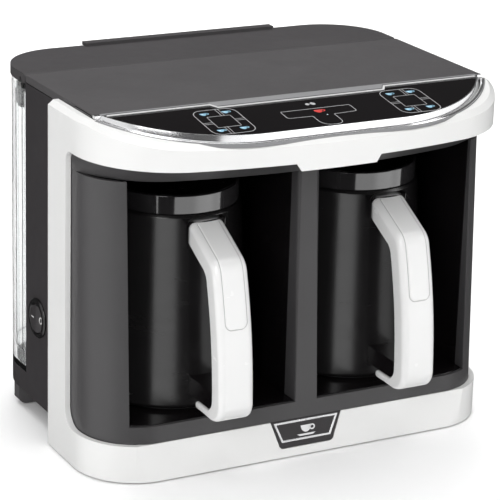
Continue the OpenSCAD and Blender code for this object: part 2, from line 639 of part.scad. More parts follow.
module tank_lid() color(black_matte) difference() {
  union() {
    translate([0, 0, top_height - 3]) linear_extrude(3) difference() {
      rear_round(panel_x, lid_y + 0.5, tank_back + 1, tank_corner + 0.5);
      translate([-130, 40]) square([260, hinge_y - 40]);
    }
    translate([-panel_x, hinge_y, hinge_z]) rotate([0, 90, 0]) cylinder(h = 2 * panel_x, r = 3, $fn = 48);
    // edge that closes over the tank's rim
    translate([0, 0, top_height - 5.9]) linear_extrude(3) difference() {
      rear_round(panel_x, 56, tank_back + 1, tank_corner + 0.5);
      rear_round(panel_x - 2.4, 50, tank_back - 1.4, tank_corner - 1.9);
    }
    // finger lip
    translate([-lip_half, 97, top_height - 3]) cube([2 * lip_half, 4.5, 5]);
    translate([-lip_half, 101, top_height - 0.2]) cube([2 * lip_half, 2.5, 2.2]);
  }
  for (x = [-100, 100]) {
    translate([x - 3.5, hinge_y, hinge_z]) rotate([0, 90, 0]) cylinder(h = 7, r = 1.85, $fn = 32);
    translate([x - 3.5, 46, hinge_z - 10]) cube([7, 16, 10]);
    translate([x - 6.3, hinge_y, hinge_z]) rotate([0, 90, 0]) cylinder(h = 12.6, r = 0.86, $fn = 24);
  }
}

// ---------- pots ----------

module pot_frame(s) { translate([s * pot_x, pot_y, 0]) children(); }

module pot_body(s) color(gunmetal) pot_frame(s) rotate_extrude($fn = 128)
  polygon([[0, pot_z + 1.4], [40, pot_z + 1.4], [40, pot_z], [pot_foot_r - 2, pot_z], [pot_foot_r, pot_z + 2],
           [pot_shoulder_r, 147.6], [pot_shoulder_r - 1.2, 149.2], [36.9, 149.4], [36.9, 159], [36.9 - pot_wall, 159],
           [36.9 - pot_wall, 148.4], [pot_shoulder_r - 0.4 - pot_wall, 146.6], [pot_foot_r - pot_wall, pot_z + 4.6],
           [pot_foot_r - pot_wall - 1.6, pot_z + 3.4], [0, pot_z + 3.4]]);

module pot_collar(s) color(black_gloss) pot_frame(s) rotate_extrude($fn = 128)
  polygon([[36.95, 149.5], [pot_collar_r, 149.3], [pot_collar_r, 159.8], [pot_collar_r - 0.6, 160.4], [36, 160.4], [35.6, 160], [35.6, 159.1], [36.95, 159.1]]);

module pot_base_disc(s) color(steel) pot_frame(s) difference() {
  translate([0, 0, pot_z + 0.1]) cylinder(h = 1.25, r = 39.8);
  translate([0, 0, pot_z - 1]) rotate_extrude() translate([24, 0]) square([1, 1.5]);
}

hy = -103.4 - pot_y;   // front of the handle at its lowest, from the pot's axis
face_r = 288.6;        // the face leans out towards its foot on a wide arc
face_c = [hy + face_r, 45];
back_r = face_r - handle_t;
lean = 16.3;           // slope of the face where it bends over into the arm
bend = face_c + back_r * [-cos(lean), sin(lean)];
arm_a = 27;
arm_y = -41.4;         // end of its arm
bend_r = 8;            // inner radius of its bend
// Centre of the inner bend, touching both the arm's underside and the handle's back
bend_q = bend + bend_r * [sin(arm_a), -cos(arm_a)] - face_c;
bend_b = bend_q * [cos(arm_a), sin(arm_a)];
bend_t = -bend_b - sqrt(bend_b * bend_b - bend_q * bend_q + (back_r - bend_r) * (back_r - bend_r));
bend_c = face_c + bend_q + bend_t * [cos(arm_a), sin(arm_a)];
back_a = 180 - asin((bend_c[1] - face_c[1]) / (back_r - bend_r));
foot_z = 38.4;         // underside of the handle's foot
foot_t = 4.6;
foot_r = 12;           // its outer and inner corner
foot_i = 7.5;
foot_y = -70.6 - pot_y;
// Height above the middle of the face's arc, as an angle on radius r
function face_angle(z, r) = 180 - asin((z - face_c[1]) / r);
// Outer face of the handle from z = z0 to the end of the arm at y = y1, grown by g
function handle_face(g, z0, y1) = concat(arc(face_c[0], face_c[1], face_r + g, face_angle(z0, face_r + g), 180 - lean, 8),
  arc(bend[0], bend[1], handle_t + g, 180 - lean, 90 + arm_a, 12, 1),
  [[y1, bend[1] + (y1 - bend[0]) * tan(arm_a) + (handle_t + g) / cos(arm_a)]]);
// Inner face of the handle from the arm at y = y1 down to z = z0, moved out of the handle by g
function handle_back(g, z0, y1) = concat([[y1, bend[1] + (y1 - bend[0]) * tan(arm_a) - g / cos(arm_a)]],
  arc(bend_c[0], bend_c[1], bend_r - g, 90 + arm_a, back_a, 8),
  arc(face_c[0], face_c[1], back_r - g, back_a, face_angle(z0, back_r - g), 8, 1));
// Side outline of the whole handle, grown by g
module handle_side(g) let (oz = foot_z + foot_r, iz = foot_z + foot_t + foot_i) polygon(concat(handle_face(g, 56, arm_y + g),
  handle_back(g, 56, arm_y + g),
  arc(face_c[0] - sqrt(pow(back_r - foot_i, 2) - pow(iz - face_c[1], 2)), iz, foot_i - g, face_angle(iz, back_r - foot_i), 270, 8),
  arc(foot_y - foot_t / 2, foot_z + foot_t / 2, foot_t / 2 + g, 90, -90, 8),
  arc(face_c[0] - sqrt(pow(face_r - foot_r, 2) - pow(oz - face_c[1], 2)), oz, foot_r + g, 270, face_angle(oz, face_r - foot_r), 12)));

module side_profile(w) { rotate([90, 0, 90]) translate([0, 0, -w / 2]) linear_extrude(w) children(); }

module pot_handle(s) color(white) pot_frame(s) side_profile(handle_w) handle_side(0);

module pot_handle_panel(s) color(white) pot_frame(s) side_profile(13.6) let (f = handle_face(0, 94.5, -46.2))
  polygon(concat(handle_face(0.7, 94.5, -46.2), [for (i = [len(f) - 1:-1:0]) f[i]]));

module pot_handle_liner(s) color(black_gloss) pot_frame(s) side_profile(handle_w - 3.6) let (b = handle_back(1.8, 56, -46.6))
  polygon(concat(handle_back(0.02, 56, -46.6), [for (i = [len(b) - 1:-1:0]) b[i]]));

// Brackets that hold the handle to the pot, above and below
module pot_brackets(s) color(black_gloss) pot_frame(s) difference() {
  union() {
    intersection() {
      cylinder(h = 149, r = 45.4);
      rotate([90, 0, 0]) linear_extrude(60) polygon(concat(arc(9, 145.4, 3.6, 0, 90, 6), arc(-9, 145.4, 3.6, 90, 180, 6),
        arc(-9, 134.6, 3.6, 180, 270, 6), arc(9, 134.6, 3.6, 270, 360, 6)));
    }
    intersection() {
      side_profile(19) polygon(concat([[-30, 43.5], [-30, 54.4]], arc(-80, 51.4, 3, 90, 180, 6), [[-83, 43.5]]));
      translate([0, 0, 40]) cylinder(h = 20, r = 79);
    }
  }
  cylinder(h = 150, r = pot_shoulder_r - 4);
  translate([0, 0, 147.5]) cylinder(h = 2, r = pot_shoulder_r + 0.03, $fn = 128);
  translate([0, 0, pot_z + 2]) cylinder(h = 147.6 - pot_z - 2, r1 = pot_foot_r + 0.03, r2 = pot_shoulder_r + 0.03, $fn = 128);
  side_profile(handle_w + 0.4) handle_side(0.3);
}

module pot_left_body() pot_body(-1);
module pot_left_collar() pot_collar(-1);
module pot_left_base_disc() pot_base_disc(-1);
module pot_left_handle() pot_handle(-1);
module pot_left_handle_panel() pot_handle_panel(-1);
module pot_left_handle_liner() pot_handle_liner(-1);
module pot_left_brackets() pot_brackets(-1);
module pot_right_body() pot_body(1);
module pot_right_collar() pot_collar(1);
module pot_right_base_disc() pot_base_disc(1);
module pot_right_handle() pot_handle(1);
module pot_right_handle_panel() pot_handle_panel(1);
module pot_right_handle_liner() pot_handle_liner(1);
module pot_right_brackets() pot_brackets(1);

front_frame();
base_tray();
rubber_feet();
side_panel_left();
side_panel_right();
rear_bulkhead();
tank_dock();
dock_seal();
top_cover();
side_inlays();
chrome_trim();
control_glass();
touch_board();
touch_springs();
indicator_leds();
head_underside();
fascia();
niche_liner_left();
niche_liner_right();
base_deck();
heater_plate_left();
heater_plate_right();
heater_coil_left();
heater_coil_right();
temperature_sensors();
foam_sensors();
spouts();
pump_left();
pump_right();
suction_tubes();
delivery_tubes();
power_board();
switch_body();
cord_gland();
badge_plate();
badge_rim();
base_screws();
switch_rocker();
water_tank();
tank_clips();
valve_housing();
lid_hinge_pins();
valve_plunger();
valve_spring();
tank_lid();
pot_left_body();
pot_left_collar();
pot_left_base_disc();
pot_left_handle();
pot_left_handle_panel();
pot_left_handle_liner();
pot_left_brackets();
pot_right_body();
pot_right_collar();
pot_right_base_disc();
pot_right_handle();
pot_right_handle_panel();
pot_right_handle_liner();
pot_right_brackets();
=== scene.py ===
"""Looks of the coffee maker with two pots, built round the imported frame. Metres, +Z up, front towards -Y."""

import json
import math

import bmesh
import bpy
from mathutils import Matrix, Vector

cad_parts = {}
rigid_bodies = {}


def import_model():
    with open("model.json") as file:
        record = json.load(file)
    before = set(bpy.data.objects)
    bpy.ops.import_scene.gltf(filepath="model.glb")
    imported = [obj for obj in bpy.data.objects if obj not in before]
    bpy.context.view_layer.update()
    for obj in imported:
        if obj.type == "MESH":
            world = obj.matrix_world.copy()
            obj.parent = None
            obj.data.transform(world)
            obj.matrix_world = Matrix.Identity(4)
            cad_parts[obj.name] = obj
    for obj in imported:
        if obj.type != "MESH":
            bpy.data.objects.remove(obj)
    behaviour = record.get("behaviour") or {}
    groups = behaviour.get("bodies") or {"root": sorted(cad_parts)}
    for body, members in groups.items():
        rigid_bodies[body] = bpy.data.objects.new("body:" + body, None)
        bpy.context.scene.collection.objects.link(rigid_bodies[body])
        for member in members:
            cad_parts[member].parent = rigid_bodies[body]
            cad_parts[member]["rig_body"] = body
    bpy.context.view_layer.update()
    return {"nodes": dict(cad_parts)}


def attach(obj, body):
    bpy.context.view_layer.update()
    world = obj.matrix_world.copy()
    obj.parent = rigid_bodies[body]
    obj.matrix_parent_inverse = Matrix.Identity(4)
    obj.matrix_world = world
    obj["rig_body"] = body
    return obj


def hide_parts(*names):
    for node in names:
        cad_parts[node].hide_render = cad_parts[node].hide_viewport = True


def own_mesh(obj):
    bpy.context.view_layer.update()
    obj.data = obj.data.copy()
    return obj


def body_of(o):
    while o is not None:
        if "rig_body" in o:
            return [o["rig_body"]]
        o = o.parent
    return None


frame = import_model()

NODES = frame["nodes"]
SCENE = bpy.context.scene
MM = 0.001

# ---------------------------------------------------------------- camera
AZ, EL, ROLL = (math.radians(v) for v in (-28.38, 18.59, 1.70))
back = Vector((math.sin(AZ) * math.cos(EL), -math.cos(AZ) * math.cos(EL), math.sin(EL)))
right = Vector((math.cos(AZ), math.sin(AZ), 0))
up = back.cross(right)
r_ax = math.cos(ROLL) * right + math.sin(ROLL) * up
u_ax = -math.sin(ROLL) * right + math.cos(ROLL) * up
cam_data = bpy.data.cameras.new("camera")
cam_data.sensor_width = 36
cam_data.sensor_fit = "HORIZONTAL"
cam_data.lens = 165.05
cam_data.clip_start = 0.05
cam_data.clip_end = 60
cam = bpy.data.objects.new("camera", cam_data)
SCENE.collection.objects.link(cam)
rot = Matrix((r_ax, u_ax, back)).transposed().to_4x4()
cam.matrix_world = Matrix.Translation(Vector((-0.6236, -1.1552, 0.5443))) @ rot
SCENE.camera = cam
SCENE.view_settings.view_transform = "Standard"
SCENE.view_settings.look = "None"
SCENE.view_settings.exposure = 0.0
SCENE.view_settings.gamma = 1.0


# ---------------------------------------------------------------- materials
def _noise(nt, coord, scale, detail=2.0, rough=0.5, distort=0.0):
    n = nt.nodes.new("ShaderNodeTexNoise")
    n.inputs["Scale"].default_value = scale
    n.inputs["Detail"].default_value = detail
    n.inputs["Roughness"].default_value = rough
    n.inputs["Distortion"].default_value = distort
    nt.links.new(coord, n.inputs["Vector"])
    return n


def _range(nt, value, lo, hi, f0=0.3, f1=0.7):
    m = nt.nodes.new("ShaderNodeMapRange")
    m.inputs["From Min"].default_value = f0
    m.inputs["From Max"].default_value = f1
    m.inputs["To Min"].default_value = lo
    m.inputs["To Max"].default_value = hi
    nt.links.new(value, m.inputs["Value"])
    return m.outputs["Result"]


def _two(nt, fac, c1, c2):
    m = nt.nodes.new("ShaderNodeMix")
    m.data_type = "RGBA"
    m.inputs[6].default_value = (*c1, 1)
    m.inputs[7].default_value = (*c2, 1)
    nt.links.new(fac, m.inputs[0])
    return m.outputs[2]


def finish_mat(name, color, rough, metallic=0.0, specular=0.5, coat=0.0, coat_rough=0.05, ior=1.5,
               cloud=0.06, cloud_scale=14.0, rough_var=0.03, smear_scale=(60.0, 60.0, 60.0),
               grain=0.0, grain_scale=1500.0, grain_tint=0.0, wave=0.0, wave_scale=45.0,
               transmission=0.0, alpha=1.0, aniso=0.0, sheen=0.0, subsurface=0.0):
    """A moulded or machined surface: slow colour clouds, uneven polish, fine grain and faint moulding waves."""
    m = bpy.data.materials.new(name)
    m.use_nodes = True
    nt = m.node_tree
    b = nt.nodes["Principled BSDF"]
    b.inputs["Metallic"].default_value = metallic
    b.inputs["IOR"].default_value = ior
    b.inputs["Specular IOR Level"].default_value = specular
    b.inputs["Coat Weight"].default_value = coat
    b.inputs["Coat Roughness"].default_value = coat_rough
    b.inputs["Transmission Weight"].default_value = transmission
    b.inputs["Alpha"].default_value = alpha
    b.inputs["Anisotropic"].default_value = aniso
    b.inputs["Sheen Weight"].default_value = sheen
    if subsurface:
        b.inputs["Subsurface Weight"].default_value = subsurface
        b.inputs["Subsurface Scale"].default_value = 0.002
    tc = nt.nodes.new("ShaderNodeTexCoord")
    coord = tc.outputs["Object"]
    slow = _noise(nt, coord, cloud_scale, 3.0)
    lo = tuple(max(0.0, c * (1 - cloud)) for c in color)
    hi = tuple(min(1.0, c * (1 + cloud)) for c in color)
    col = _two(nt, _range(nt, slow.outputs["Fac"], 0, 1), lo, hi)
    if grain_tint:
        fine = _noise(nt, coord, grain_scale, 1.0)
        mul = nt.nodes.new("ShaderNodeMix")
        mul.data_type = "RGBA"
        mul.blend_type = "MULTIPLY"
        mul.inputs[0].default_value = 1.0
        nt.links.new(col, mul.inputs[6])
        g = _two(nt, _range(nt, fine.outputs["Fac"], 0, 1), (1 - grain_tint,) * 3, (1 + grain_tint,) * 3)
        nt.links.new(g, mul.inputs[7])
        col = mul.outputs[2]
    nt.links.new(col, b.inputs["Base Color"])
    mp = nt.nodes.new("ShaderNodeMapping")
    mp.inputs["Scale"].default_value = smear_scale
    nt.links.new(coord, mp.inputs["Vector"])
    smear = _noise(nt, mp.outputs["Vector"], 1.0, 4.0, 0.6)
    nt.links.new(_range(nt, smear.outputs["Fac"], max(0.0, rough - rough_var), min(1.0, rough + rough_var)),
                 b.inputs["Roughness"])
    normal = None
    if wave:
        w = _noise(nt, coord, wave_scale, 1.0)
        bump = nt.nodes.new("ShaderNodeBump")
        bump.inputs["Strength"].default_value = wave
        bump.inputs["Distance"].default_value = 0.0004
        nt.links.new(w.outputs["Fac"], bump.inputs["Height"])
        normal = bump.outputs["Normal"]
    if grain:
        g = _noise(nt, coord, grain_scale, 2.0, 0.6)
        bump = nt.nodes.new("ShaderNodeBump")
        bump.inputs["Strength"].default_value = grain
        bump.inputs["Distance"].default_value = 0.00012
        nt.links.new(g.outputs["Fac"], bump.inputs["Height"])
        if normal:
            nt.links.new(normal, bump.inputs["Normal"])
        normal = bump.outputs["Normal"]
    if normal:
        nt.links.new(normal, b.inputs["Normal"])
    return m


M = {
    "frame_white": finish_mat("frame_white", (0.755, 0.755, 0.748), 0.32, coat=0.2, coat_rough=0.16, cloud=0.010,
                              rough_var=0.02, wave=0.03, wave_scale=25, grain=0.02, grain_scale=2200),
    "handle_white": finish_mat("handle_white", (0.83, 0.83, 0.827), 0.24, coat=0.35, coat_rough=0.10, cloud=0.01,
                               rough_var=0.04, wave=0.12, wave_scale=90, grain=0.03, grain_scale=2600),
    "top_matte": finish_mat("top_matte", (0.069, 0.066, 0.068), 0.55, specular=0.35, cloud=0.05, rough_var=0.05,
                            grain=0.35, grain_scale=1700, grain_tint=0.10, wave=0.15),
    "lid_matte": finish_mat("lid_matte", (0.053, 0.050, 0.052), 0.58, specular=0.35, cloud=0.05, rough_var=0.05,
                            grain=0.35, grain_scale=1700, grain_tint=0.10, wave=0.15),
    "side_satin": finish_mat("side_satin", (0.036, 0.033, 0.035), 0.44, specular=0.4, cloud=0.05, rough_var=0.04,
                             grain=0.16, grain_scale=1900, grain_tint=0.05, wave=0.2),
    "fascia_satin": finish_mat("fascia_satin", (0.062, 0.060, 0.062), 0.40, specular=0.5, cloud=0.05, rough_var=0.04,
                               grain=0.10, grain_scale=2100, grain_tint=0.04, wave=0.2),
    "niche_gloss": finish_mat("niche_gloss", (0.006, 0.005, 0.0055), 0.16, specular=0.45, cloud=0.1, rough_var=0.04,
                              wave=0.25, grain=0.02),
    "gloss_black": finish_mat("gloss_black", (0.009, 0.0085, 0.009), 0.10, specular=0.5, coat=0.3, coat_rough=0.04,
                              cloud=0.1, rough_var=0.03, wave=0.15, grain=0.015),
    "glass_black": finish_mat("glass_black", (0.0075, 0.0065, 0.0070), 0.09, specular=0.5, coat=0.4, coat_rough=0.02,
                              cloud=0.12, rough_var=0.03, smear_scale=(25, 40, 25), wave=0.03, wave_scale=20),
    "trim_bright": finish_mat("trim_bright", (0.82, 0.82, 0.83), 0.14, metallic=0.92, cloud=0.02, rough_var=0.02,
                              smear_scale=(30, 60, 60), wave=0.03, grain=0.01, grain_scale=3000),
    "badge_silver": finish_mat("badge_silver", (0.85, 0.85, 0.86), 0.28, metallic=0.6, cloud=0.02, rough_var=0.05,
                               grain=0.05, grain_scale=3000),
    "pot_coat": finish_mat("pot_coat", (0.0055, 0.0050, 0.0053), 0.25, specular=0.5, cloud=0.10, cloud_scale=30,
                           rough_var=0.03, smear_scale=(40, 40, 140), grain=0.04, grain_scale=2600, grain_tint=0.05),
    "steel": finish_mat("steel", (0.56, 0.56, 0.55), 0.28, metallic=1.0, cloud=0.05, rough_var=0.08,
                        smear_scale=(500, 40, 40), grain=0.08, grain_scale=1500, aniso=0.3),
    "dark_steel": finish_mat("dark_steel", (0.055, 0.055, 0.057), 0.40, metallic=0.6, cloud=0.05, rough_var=0.06,
                             smear_scale=(300, 40, 40), grain=0.08, grain_scale=1500),
    "rubber": finish_mat("rubber", (0.018, 0.018, 0.018), 0.75, specular=0.3, cloud=0.15, grain=0.35, grain_scale=1400,
                         grain_tint=0.15),
    "board": finish_mat("board", (0.015, 0.11, 0.05), 0.4, cloud=0.2, cloud_scale=220, grain=0.25, grain_scale=900),
    "brass": finish_mat("brass", (0.62, 0.46, 0.20), 0.3, metallic=1.0, cloud=0.1, cloud_scale=300),
    "silicone": finish_mat("silicone", (0.70, 0.70, 0.67), 0.38, cloud=0.04, transmission=0.5, grain=0.05),
    "led": finish_mat("led", (0.65, 0.75, 0.85), 0.2, cloud=0.05, transmission=0.3),
    "tank_clear": finish_mat("tank_clear", (0.93, 0.94, 0.94), 0.10, cloud=0.01, rough_var=0.04, ior=1.38,
                             smear_scale=(90, 90, 12), wave=0.2, wave_scale=60, transmission=1.0),
    "ink_grey": finish_mat("ink_grey", (0.42, 0.42, 0.43), 0.5, cloud=0.08, cloud_scale=400, grain=0.1, grain_scale=4000),
    "ink_blue": finish_mat("ink_blue", (0.25, 0.47, 0.62), 0.5, cloud=0.10, cloud_scale=500, grain=0.1, grain_scale=4000),
    "ink_pale": finish_mat("ink_pale", (0.62, 0.74, 0.82), 0.5, cloud=0.08, cloud_scale=500, grain=0.1, grain_scale=4000),
    "ink_red": finish_mat("ink_red", (0.58, 0.045, 0.04), 0.5, cloud=0.10, cloud_scale=500, grain=0.1, grain_scale=4000),
    # painted shade: dark grey for the line that stands in for the shade under the strip's step
    "step_shade_dark": finish_mat("step_shade_dark", (0.085, 0.085, 0.088), 0.4, metallic=0.2, cloud=0.05, rough_var=0.05,
                               grain=0.04, grain_scale=3000),
    "strip_face": finish_mat("strip_face", (0.27, 0.27, 0.277), 0.38, metallic=0.1, cloud=0.03, rough_var=0.04,
                             smear_scale=(20, 500, 500), grain=0.04, grain_scale=3000),
    # painted highlight: pale grey for the line that stands in for the light caught by the strip's front edge
    "edge_highlight_pale": finish_mat("edge_highlight_pale", (0.70, 0.70, 0.70), 0.25, metallic=0.1, cloud=0.02, rough_var=0.04,
                             grain=0.03, grain_scale=3000),
    # painted shadow: grey for the line that stands in for the shade in the gap round the handle panel
    "gap_shade_grey": finish_mat("gap_shade_grey", (0.45, 0.45, 0.452), 0.5, cloud=0.05, rough_var=0.05, grain=0.05, grain_scale=3000),
    "mark_white": finish_mat("mark_white", (0.62, 0.62, 0.61), 0.55, cloud=0.06, cloud_scale=500, grain=0.1, grain_scale=4000),
    "floor": finish_mat("floor_pale", (0.92, 0.92, 0.92), 0.9, specular=0.0, cloud=0.004, rough_var=0.02),
}


# ---------------------------------------------------------------- helpers
def add_mesh(name, bm, body, mat, smooth=True):
    me = bpy.data.meshes.new(name)
    bm.to_mesh(me)
    bm.free()
    me.polygons.foreach_set("use_smooth", [smooth] * len(me.polygons))
    me.materials.append(M[mat])
    o = bpy.data.objects.new(name, me)
    SCENE.collection.objects.link(o)
    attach(o, body)
    return o


def soften(o, width, seg=3, angle=28):
    """Rounds the sharp edges of a finished mesh and evens its normals."""
    if width:
        b = o.modifiers.new("round_edges", "BEVEL")
        b.width = width * MM
        b.segments = seg
        b.limit_method = "ANGLE"
        b.angle_limit = math.radians(angle)
        b.use_clamp_overlap = True
        b.harden_normals = False
        b.miter_outer = "MITER_ARC"
    w = o.modifiers.new("even_normals", "WEIGHTED_NORMAL")
    w.keep_sharp = True
    w.weight = 50
    return o


def refine(node, mat, width=0.4, seg=3, angle=28, name=None, rounds=()):
    """The CAD piece again, welded, with its flat faces made whole and its edges rounded.

    rounds: (test of an edge's two end points in millimetres, radius, segments) for edges with a larger round of their own."""
    src = NODES[node]
    bm = bmesh.new()
    bm.from_mesh(src.data)
    bmesh.ops.remove_doubles(bm, verts=bm.verts, dist=3e-6)
    bmesh.ops.dissolve_limit(bm, angle_limit=math.radians(0.25), verts=bm.verts, edges=bm.edges)
    bmesh.ops.recalc_face_normals(bm, faces=bm.faces)
    for test, radius, n in rounds:
        picked = [e for e in bm.edges if e.calc_face_angle(0) > 0.6 and test(e.verts[0].co / MM, e.verts[1].co / MM)]
        if picked:
            bmesh.ops.bevel(bm, geom=picked, offset=radius * MM, offset_type="OFFSET", segments=n, profile=0.5,
                            affect="EDGES", clamp_overlap=True)
    for e in bm.edges:
        e.smooth = True
    o = add_mesh(name or node + "_skin", bm, body_of(src)[0], mat)
    soften(o, width, seg, angle)
    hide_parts(node)
    return o


def fillet(points, radii, n=6):
    """Closed outline with each corner rounded to its own radius."""
    out = []
    k = len(points)
    for i in range(k):
        p = Vector(points[i])
        r = radii[i] if isinstance(radii, (list, tuple)) else radii
        a = (Vector(points[i - 1]) - p)
        b = (Vector(points[(i + 1) % k]) - p)
        if r <= 0 or a.length < 1e-9 or b.length < 1e-9:
            out.append(p)
            continue
        la, lb = a.length, b.length
        a.normalize(), b.normalize()
        ang = a.angle(b)
        if ang > math.pi - 1e-3:
            out.append(p)
            continue
        t = min(r / math.tan(ang / 2), la * 0.49, lb * 0.49)
        rr = t * math.tan(ang / 2)
        c = p + (a + b).normalized() * (rr / math.sin(ang / 2))
        s, e = p + a * t - c, p + b * t - c
        full = s.angle(e)
        for j in range(n + 1):
            f = j / n
            d = (math.sin((1 - f) * full) * s + math.sin(f * full) * e) / math.sin(full) if full > 1e-6 else s
            out.append(c + d)
    return out


def lathe(name, profile, centre, body, mat, seg=144, closed=True):
    """Turned piece from (radius, height) points in millimetres round an upright axis."""
    bm = bmesh.new()
    rings = []
    for r, z in profile:
        if r < 1e-6:
            rings.append([bm.verts.new((centre[0] * MM, centre[1] * MM, z * MM))])
        else:
            rings.append([bm.verts.new(((centre[0] + r * math.cos(2 * math.pi * i / seg)) * MM,
                                        (centre[1] + r * math.sin(2 * math.pi * i / seg)) * MM, z * MM))
                          for i in range(seg)])
    pairs = list(zip(rings, rings[1:])) + ([(rings[-1], rings[0])] if closed else [])
    for a, b in pairs:
        for i in range(seg):
            j = (i + 1) % seg
            if len(a) == 1 and len(b) == 1:
                continue
            if len(a) == 1:
                bm.faces.new((a[0], b[j], b[i]))
            elif len(b) == 1:
                bm.faces.new((a[i], a[j], b[0]))
            else:
                bm.faces.new((a[i], a[j], b[j], b[i]))
    bmesh.ops.recalc_face_normals(bm, faces=bm.faces)
    o = add_mesh(name, bm, body, mat)
    w = o.modifiers.new("even_normals", "WEIGHTED_NORMAL")
    w.keep_sharp = True
    w.weight = 50
    return o


def flat_stroke(points, width, closed=True):
    """Quads of a line of one width along 2-D points, as a list of 4-point faces."""
    pts = [Vector(p).to_2d() for p in points]
    k = len(pts)
    left, rightp = [], []
    for i in range(k):
        if closed:
            a, b = pts[i] - pts[i - 1], pts[(i + 1) % k] - pts[i]
        else:
            a = pts[i] - pts[i - 1] if i else pts[1] - pts[0]
            b = pts[i + 1] - pts[i] if i < k - 1 else a
        a, b = a.normalized(), b.normalized()
        na, nb = Vector((-a.y, a.x)), Vector((-b.y, b.x))
        m = (na + nb)
        m = m.normalized() if m.length > 1e-6 else na
        s = width / 2 / max(0.35, m.dot(na))
        left.append(pts[i] + m * s)
        rightp.append(pts[i] - m * s)
    quads = []
    for i in range(k if closed else k - 1):
        j = (i + 1) % k
        quads.append((left[i], left[j], rightp[j], rightp[i]))
    return quads


def rounded_rect(cx, cy, hx, hy, r, n=6):
    return [p.to_2d() for p in fillet([(cx - hx, cy - hy, 0), (cx + hx, cy - hy, 0), (cx + hx, cy + hy, 0), (cx - hx, cy + hy, 0)], r, n)]


def plate(name, faces, place, z, body, mat, thick=0.02):
    """Thin printed or pressed shapes: 2-D faces laid at height z of a placing matrix, with a little body."""
    bm = bmesh.new()
    for f in faces:
        vs = [bm.verts.new(place @ Vector((p[0] * MM, p[1] * MM, z * MM))) for p in f]
        try:
            bm.faces.new(vs)
        except ValueError:
            pass
    nrm = (place.to_3x3() @ Vector((0, 0, 1))).normalized()
    for f in bm.faces:
        f.normal_update()
        if f.normal.dot(nrm) < 0:
            f.normal_flip()
    geo = bmesh.ops.extrude_face_region(bm, geom=list(bm.faces))
    vs = [g for g in geo["geom"] if isinstance(g, bmesh.types.BMVert)]
    bmesh.ops.translate(bm, verts=vs, vec=nrm * thick * MM)
    bmesh.ops.recalc_face_normals(bm, faces=bm.faces)
    return add_mesh(name, bm, body, mat, smooth=False)


PANEL_A = math.atan(0.15)
PANEL = Matrix.Translation(Vector((0, -0.052, 0.2125))) @ Matrix.Rotation(PANEL_A, 4, "X")

# ---------------------------------------------------------------- body
refine("front_frame", "frame_white", 1.1, 4)
refine("top_cover", "top_matte", 0.7, 3)
refine("tank_lid", "lid_matte", 0.8, 3)
refine("side_inlays", "gloss_black", 0.25, 2)
refine("side_panel_left", "side_satin", 0.5, 3)
refine("side_panel_right", "side_satin", 0.5, 3)
refine("rear_bulkhead", "side_satin", 0.5, 2)
refine("tank_dock", "side_satin", 0.7, 3)
refine("dock_seal", "rubber", 0.2, 2)
refine("base_tray", "top_matte", 0.6, 2)
refine("rubber_feet", "rubber", 0.5, 3)
refine("head_underside", "fascia_satin", 0.5, 3)
refine("fascia", "fascia_satin", 0.8, 3, rounds=[
    (lambda a, b: abs(a.x + 7.1) < 0.3 and abs(b.x + 7.1) < 0.3 and abs(a.z - b.z) > 40 and a.y < -63.5 and b.y < -63.5, 5.0, 8),
    (lambda a, b: abs(a.x - 7.1) < 0.3 and abs(b.x - 7.1) < 0.3 and abs(a.z - b.z) > 40 and a.y < -63.5 and b.y < -63.5, 2.2, 5),
    (lambda a, b: abs(abs(a.x) - 112) < 0.3 and abs(abs(b.x) - 112) < 0.3 and abs(a.z - b.z) > 40 and a.y < -63 and b.y < -63, 1.8, 5)])
refine("niche_liner_left", "niche_gloss", 0.3, 2)
refine("niche_liner_right", "niche_gloss", 0.3, 2)
refine("base_deck", "niche_gloss", 0.4, 2)
refine("chrome_trim", "trim_bright", 0.3, 3)
refine("control_glass", "glass_black", 0.25, 3)
refine("badge_plate", "side_satin", 0.25, 2)
refine("badge_rim", "badge_silver", 0.25, 3)
for s in ("left", "right"):
    refine("heater_plate_" + s, "dark_steel", 0.35, 3)
    refine("heater_coil_" + s, "steel", 0, 2)
    refine("pump_" + s, "steel", 0.6, 3)
refine("temperature_sensors", "steel", 0.3, 2)
refine("foam_sensors", "gloss_black", 0.25, 2)
refine("spouts", "steel", 0.25, 2)
refine("suction_tubes", "silicone", 0, 2)
refine("delivery_tubes", "silicone", 0, 2)
refine("power_board", "board", 0.2, 2)
refine("touch_board", "board", 0.15, 2)
refine("touch_springs", "brass", 0.1, 2)
refine("indicator_leds", "led", 0.15, 2)
refine("base_screws", "steel", 0.2, 2)
refine("cord_gland", "rubber", 0.35, 3)

# ---------------------------------------------------------------- tank
refine("water_tank", "tank_clear", 0.4, 2)
refine("tank_clips", "gloss_black", 0.3, 2)
refine("valve_housing", "frame_white", 0.3, 2)
refine("lid_hinge_pins", "steel", 0.15, 2)
refine("valve_plunger", "rubber", 0.2, 2)
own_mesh(refine("valve_spring", "steel", 0, 2))

# ---------------------------------------------------------------- switch
refine("switch_body", "gloss_black", 0, 3)
refine("switch_rocker", "side_satin", 0.5, 4)


# ---------------------------------------------------------------- pots
POT_Y = -15.0
HY, T, ARM, FACE_R, LEAN = -88.4, 12.3, math.radians(27), 288.6, math.radians(16.3)
FC = Vector((HY + FACE_R, 45.0))                                      # centre of the wide arc of the handle's face
BEND = FC + (FACE_R - T) * Vector((-math.cos(LEAN), math.sin(LEAN)))  # centre of the bend into the arm
HALF_W = 10.9


def arc2(cx, cy, r, a, b, n):
    return [Vector((cx + r * math.cos(math.radians(a + (b - a) * i / n)), cy + r * math.sin(math.radians(a + (b - a) * i / n))))
            for i in range(n + 1)]


def arm_z(y, t=0.0):
    return BEND.y + (y - BEND.x) * math.tan(ARM) + t / math.cos(ARM)


def face_point(z, off=0.0):
    """Point of the handle's face at height z, and the point of its back straight behind it."""
    a = math.asin((z - FC.y) / FACE_R)
    d = Vector((-math.cos(a), math.sin(a)))
    return FC + (FACE_R + off) * d, FC + (FACE_R - T) * d


